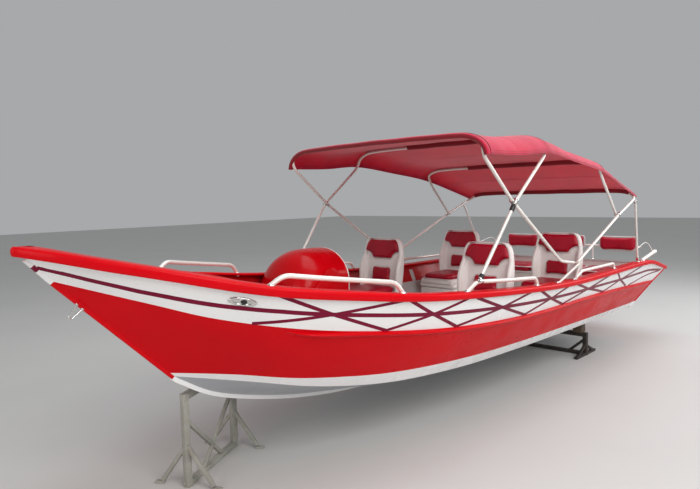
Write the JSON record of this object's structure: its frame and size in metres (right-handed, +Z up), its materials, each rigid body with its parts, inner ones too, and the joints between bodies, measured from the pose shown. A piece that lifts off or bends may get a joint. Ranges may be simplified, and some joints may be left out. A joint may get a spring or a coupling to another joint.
{
  "type": "motor launch",
  "caption": "Open aluminium motor launch with raked stem, grab rails, helm console, bucket seats, aft bench and a framed cloth canopy, standing on trestles.",
  "frame": {"origin": "bottom centre of the bounding box: on the floor under the trestles, in the centre plane, half way between stem and stern", "axes": "+X forwards to the stem, +Y to port, +Z up"},
  "size_m": [7.3616, 2.268, 2.415],
  "materials": {
    "red_paint": "gloss red paint over welded aluminium plate",
    "white_paint": "gloss white paint",
    "bottom_grey": "light grey satin bottom paint",
    "sole": "light grey non-slip floor plate",
    "red_gloss": "moulded deep red gloss",
    "dash": "dark red panel",
    "wheel_rubber": "black grip",
    "seat_shell": "moulded white",
    "vinyl": "crimson marine vinyl with white piping",
    "canvas": "crimson woven canopy cloth",
    "tube": "bright anodised tube",
    "trestle_dark": "weathered dark brown paint",
    "trestle_grey": "weathered grey-cream paint"
  },
  "bodies": {
    "launch": {"hull_bottom_port": "bottom_grey", "hull_bottom_starboard": "bottom_grey", "hull_side_port": "red_paint", "hull_side_starboard": "red_paint", "hull_band_port": "white_paint", "hull_band_starboard": "white_paint", "keel_bar": "white_paint", "stem_bar": "red_paint", "transom": "red_paint", "gunwale_port": "red_paint", "gunwale_starboard": "red_paint", "spray_strake_port": "red_paint", "spray_strake_starboard": "red_paint", "foredeck": "red_paint", "fore_bulkhead": "red_paint", "cockpit_sole": "sole", "stern_deck": "red_paint", "aft_bulkhead": "white_paint", "console_cowl": "red_gloss", "console_rim": "tube", "console_dash": "dash", "steering_column": "tube", "seat_fore_port_shell": "seat_shell", "seat_fore_port_cushion": "vinyl", "seat_fore_port_back": "vinyl", "seat_fore_starboard_shell": "seat_shell", "seat_fore_starboard_cushion": "vinyl", "seat_fore_starboard_back": "vinyl", "seat_aft_port_shell": "seat_shell", "seat_aft_port_cushion": "vinyl", "seat_aft_port_back": "vinyl", "seat_aft_starboard_shell": "seat_shell", "seat_aft_starboard_cushion": "vinyl", "seat_aft_starboard_back": "vinyl", "bench_base": "white_paint", "bench_cushion": "vinyl", "bench_back_frame": "tube", "bench_back_starboard": "vinyl", "bench_back_middle": "vinyl", "bench_back_port": "vinyl", "canopy": "canvas", "bow_front": "tube", "bow_main": "tube", "bow_aft": "tube", "bow_slant": "tube", "grab_rail_fore_port": "tube", "grab_rail_fore_starboard": "tube", "grab_rail_middle_port": "tube", "grab_rail_middle_starboard": "tube", "grab_rail_aft_port": "tube", "grab_rail_aft_starboard": "tube", "aft_pole_port": "tube", "aft_pole_starboard": "tube", "trestle_aft": "trestle_dark", "trestle_fore": "trestle_grey"},
    "wheel": {"steering_wheel": "wheel_rubber"}
  },
  "joints": [
    {"name": "steering", "type": "hinge", "parent": "launch", "child": "wheel", "pos_m": [0.865, -0.6, 1.24], "axis": [0.9004, 0, -0.435], "range_deg": [-540, 540]}
  ]
}
